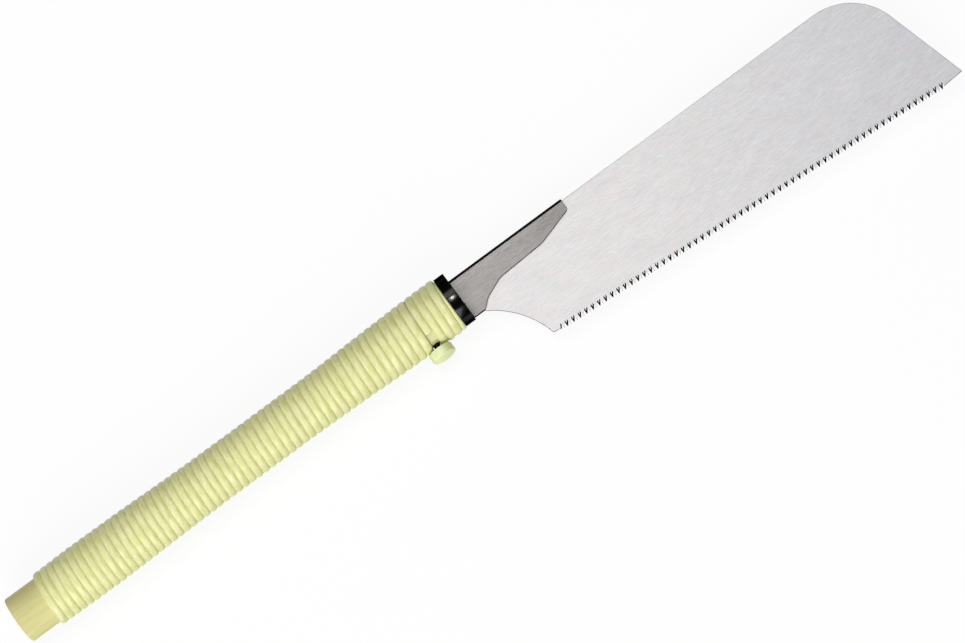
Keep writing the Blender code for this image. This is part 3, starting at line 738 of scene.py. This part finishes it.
def holderOutline():
    face, foot, neck, corner = (holder[key] for key in ("face", "foot", "neck", "corner"))
    rear, tangTop, tangFoot = (holder[key] for key in ("tangRear", "tangTop", "tangFoot"))
    front, above = face + holder["length"], holder["top"] + holder["overrun"]
    return roundCorners([
        (rear, tangFoot, corner), (neck, tangFoot, 0), (neck, foot, 0), (face + holder["throatStart"], foot, corner),
        *[(face + ahead, y, radius) for ahead, y, radius in holder["throat"]],
        (front, *holder["nose"]), (front, above, 0), (neck, above, 0), (neck, tangTop, 0), (rear, tangTop, corner)])


def makeHolder():
    half, top, over, slotHalf = (holder[key] for key in ("half", "top", "overrun", "slotHalf"))
    front = holder["face"] + holder["length"]
    sheet = blockFrom(
        "bladeHolder", (holder["tangRear"] - over, holder["blankFoot"], -half), (front + over, top, half))
    # the bevelled edges take the painted edge shade
    dress(sheet, holderFinish, paintedEdgeShade)
    selectNone(sheet)
    for edge in sheet.data.edges:  # the two long edges over the back make the fold
        first, last = (sheet.data.vertices[index].co for index in edge.vertices)
        high = min(first.y, last.y) > top - holder["foldNear"]
        edge.select = high and abs(first.x - last.x) > holder["foldLong"]
    bpy.ops.object.mode_set(mode="EDIT")
    bpy.ops.mesh.bevel(
        offset=half * holder["foldShare"], segments=holder["foldSteps"], profile=0.5, affect="EDGES")
    bpy.ops.object.mode_set(mode="OBJECT")
    tidyMesh(sheet, holder["foldMerge"])
    channel = blockFrom(
        "channel", (holder["channelRear"], holder["channelFoot"], -slotHalf),
        (holder["channelFront"], top - holder["sheet"], slotHalf))
    # the channel's walls take the painted edge shade
    dress(channel, paintedEdgeShade)
    cutWith(sheet, channel)
    trim = plateFrom("holderOutline", holderOutline(), holder["trimHalf"])
    # the cut outline takes the painted edge shade
    dress(trim, paintedEdgeShade)
    cutWith(sheet, trim, "INTERSECT")
    for x, y in holder["rivets"]:
        cutWith(sheet, rodFrom("rivetHole", (x, y, 0), holder["rivetHole"], holder["rivetLong"]))
    x, y, radius, length = holder["pinSeat"]
    cutWith(sheet, rodFrom("pinSeat", (x, y, 0), radius, length))
    tidyMesh(sheet, holder["cutMerge"])
    breakEdges(sheet, holder["edge"], holder["edgeSteps"])
    smoothTo(sheet, holder["smooth"])
    settle(sheet, "blade_unit", "holder_steel", "blade_holder")


makeHolder()


# thumbscrew, with drops counted down from the knob's face

knob = {
    "face": 0.0161, "radius": 0.0066, "side": 0.0045, "dome": 0.0015, "round": 0.0004, "brim": 0.0002,
    "hole": 0.00205, "grip": 0.0037, "sides": 96, "capSteps": 12, "smooth": 30,
}
stud = {
    "radius": 0.00195, "tip": 0.0008, "chamfer": 0.0001, "top": -0.0021, "neck": -0.0051, "spare": 0.0001,
    "pitch": 0.0007, "threadDepth": 0.0003, "threadInset": 0.0004, "ridgeHalf": 0.00032, "crestHalf": 0.00005,
    "ridgeSunk": 0.0001, "sides": 48, "smooth": 35,
}
washer = {"radius": 0.0035, "thick": 0.0007, "gap": 0.00005, "edge": 0.00015, "sides": 64, "smooth": 30}
knobMiddle = (studX, -knob["face"], 0)


def makeKnob():
    rim, side, dome, steps = (knob[key] for key in ("radius", "side", "dome", "capSteps"))
    profile = [(knob["grip"], 0), (knob["grip"], knob["hole"]), (0, knob["hole"])]
    profile += [(drop, rim - inset) for drop, inset in quarterRound(knob["round"])]
    profile.append((side - knob["brim"], rim))
    capRim = rim - knob["brim"]
    capRadius = (capRim ** 2 + dome ** 2) / (2 * dome)
    for step in range(steps + 1):  # a shallow round cap
        radius = capRim * (1 - step / steps)
        profile.append((side + dome - capRadius + math.sqrt(capRadius ** 2 - radius ** 2), radius))
    head = turnedPiece("thumbKnob", knobMiddle, profile, knob["sides"])
    dress(head, knobFinish)
    smoothTo(head, knob["smooth"])
    settle(head, "thumbscrew", "knob_plastic", "thumb_knob")


def makeThread(root, start, end):
    sunk, crest = root - stud["ridgeSunk"], stud["radius"]
    foot, flat = stud["ridgeHalf"], stud["crestHalf"]
    thread = ringOf("thread", [(sunk, 0, -foot), (crest, 0, -flat), (crest, 0, flat), (sunk, 0, foot)])
    turns = int((end - start - 2 * stud["threadInset"]) / stud["pitch"])
    addModifier(
        thread, "SCREW", axis="Z", angle=2 * math.pi, screw_offset=stud["pitch"], iterations=turns,
        steps=stud["sides"], render_steps=stud["sides"])
    editAll(thread)
    bpy.ops.mesh.fill_holes(sides=0)
    bpy.ops.object.mode_set(mode="OBJECT")
    tidyMesh(thread)
    thread.rotation_euler = (math.pi / 2, 0, 0)
    thread.location = (studX, -knob["face"] - start - stud["threadInset"], 0)
    fixPlace(thread)
    return thread


def makeStud():
    root, tip, chamfer = stud["radius"] - stud["threadDepth"], stud["tip"], stud["chamfer"]
    top, start = -(stud["top"] + knob["face"]), -(stud["neck"] + knob["face"])
    end = knob["grip"] - stud["spare"]
    shank = turnedPiece("threadedStud", knobMiddle, [
        (top, 0), (top, tip - chamfer), (top + chamfer, tip), (start, tip),
        (start, root), (end, root), (end, 0)], stud["sides"])
    thread = makeThread(root, start, end)
    takeUp(shank)
    thread.select_set(True)
    bpy.ops.object.join()
    dress(shank, studSteel)
    smoothTo(shank, stud["smooth"])
    settle(shank, "thumbscrew", "stud_steel", "thumb_stud")


def makeWasher():
    inner, outer, edge = knob["hole"], washer["radius"], washer["edge"]
    low, high = -washer["gap"], -washer["gap"] - washer["thick"]
    ring = turnedPiece("brightWasher", knobMiddle, [
        (high, inner), (high, outer - edge), (high + edge, outer), (low - edge, outer),
        (low, outer - edge), (low, inner)], washer["sides"], ring=True)
    dress(ring, washerSteel)
    smoothTo(ring, washer["smooth"])
    settle(ring, "thumbscrew", "washer_steel", "knob_washer")


makeKnob()
makeStud()
makeWasher()


# pieces inside the handle and the holder keep their shapes
innerNodes = [
    "tang_socket", "socket_pin", "clamp_nut", "tang_spacer",
    "tang_rivet_1", "tang_rivet_2", "hook_pin", "clamp_shoe",
]
for nodeName in innerNodes:
    dress(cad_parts[nodeName], plainSteel)
print("inner steel pieces dressed")


# floor, light and camera

studio = {
    "floorX": 0.27, "floorZ": -0.0129, "floorSize": 12.0, "floorGlow": 0.9, "floorWhite": 0.9, "floorBounce": 0.4,
    "world": 0.08,
    "key": {"place": (0.15, 0.67, 1.5), "aim": (0.15, 0.67, 0), "size": (2.4, 0.52), "power": 12.2},
    "fill": {"place": (-0.65, -1.6, 1.1), "aim": (0.2, 0, 0), "size": (1.8, 1.6), "power": 46.0},
    "top": {"place": (0.25, 0.14, 1.5), "aim": (0.25, 0.14, 0), "size": (0.08, 0.2), "power": 4.9},
}
view = {
    "look": (0.2739, -0.01744, 0.0), "away": 1.9, "lens": 142.8, "sensor": 36,
    "lean": math.radians(15), "roll": math.radians(36.36),
}


def makeFloor():
    clearSelection()
    bpy.ops.mesh.primitive_plane_add(size=studio["floorSize"], location=(studio["floorX"], 0, studio["floorZ"]))
    floor = bpy.context.object
    floor.name = "studioFloor"
    finish, tree = emptyFinish("whiteFloor")
    ray = addNode(tree, "LightPath")
    seen = reckoned(tree, "MAXIMUM", ray.outputs["Is Camera Ray"], ray.outputs["Is Glossy Ray"])
    seen = reckoned(tree, "MAXIMUM", seen, ray.outputs["Is Transmission Ray"])
    share = reckoned(tree, "MULTIPLY", seen, studio["floorGlow"])
    bounce, white = grey(studio["floorBounce"]), grey(studio["floorWhite"])
    matt = addNode(tree, "BsdfDiffuse", {"Color": mixed(tree, seen, bounce, white)})  # little light comes back up
    glow = addNode(tree, "Emission", {"Color": grey(1.0), "Strength": 1.0})
    both = addNode(tree, "MixShader", {0: share, 1: matt.outputs[0], 2: glow.outputs[0]})
    addNode(tree, "OutputMaterial", {"Surface": both.outputs[0]})
    dress(floor, finish)


def addSoftbox(name, place, aim, size, power):
    lamp = bpy.data.lights.new(name, "AREA")
    lamp.shape = "RECTANGLE"
    lamp.size, lamp.size_y = size
    lamp.energy = power
    box = bpy.data.objects.new(name, lamp)
    bpy.context.scene.collection.objects.link(box)
    box.location = place
    box.rotation_euler = (Vector(aim) - Vector(place)).to_track_quat("-Z", "Y").to_euler()


def makeCamera():
    lean, roll = view["lean"], view["roll"]
    away = Vector((0, -math.sin(lean), math.cos(lean)))
    across = Vector((0, math.cos(lean), math.sin(lean)))
    right = Vector((math.cos(roll), 0, 0)) - math.sin(roll) * across
    up = Vector((math.sin(roll), 0, 0)) + math.cos(roll) * across
    lens = bpy.data.cameras.new("photoCamera")
    lens.sensor_fit = "HORIZONTAL"
    lens.sensor_width = view["sensor"]
    lens.lens = view["lens"]
    camera = bpy.data.objects.new("photoCamera", lens)
    bpy.context.scene.collection.objects.link(camera)
    turn = Matrix((right, up, away)).transposed().to_4x4()
    camera.matrix_world = Matrix.Translation(Vector(view["look"]) + away * view["away"]) @ turn
    bpy.context.scene.camera = camera


makeFloor()
addSoftbox("keySoftbox", **studio["key"])
addSoftbox("fillSoftbox", **studio["fill"])
addSoftbox("topSoftbox", **studio["top"])
makeCamera()
scene = bpy.context.scene
scene.world = bpy.data.worlds.new("studioWorld")
scene.world.use_nodes = True
scene.world.node_tree.nodes["Background"].inputs["Color"].default_value = grey(studio["world"])
scene.view_settings.view_transform = "Standard"
print("floor, light and camera set")
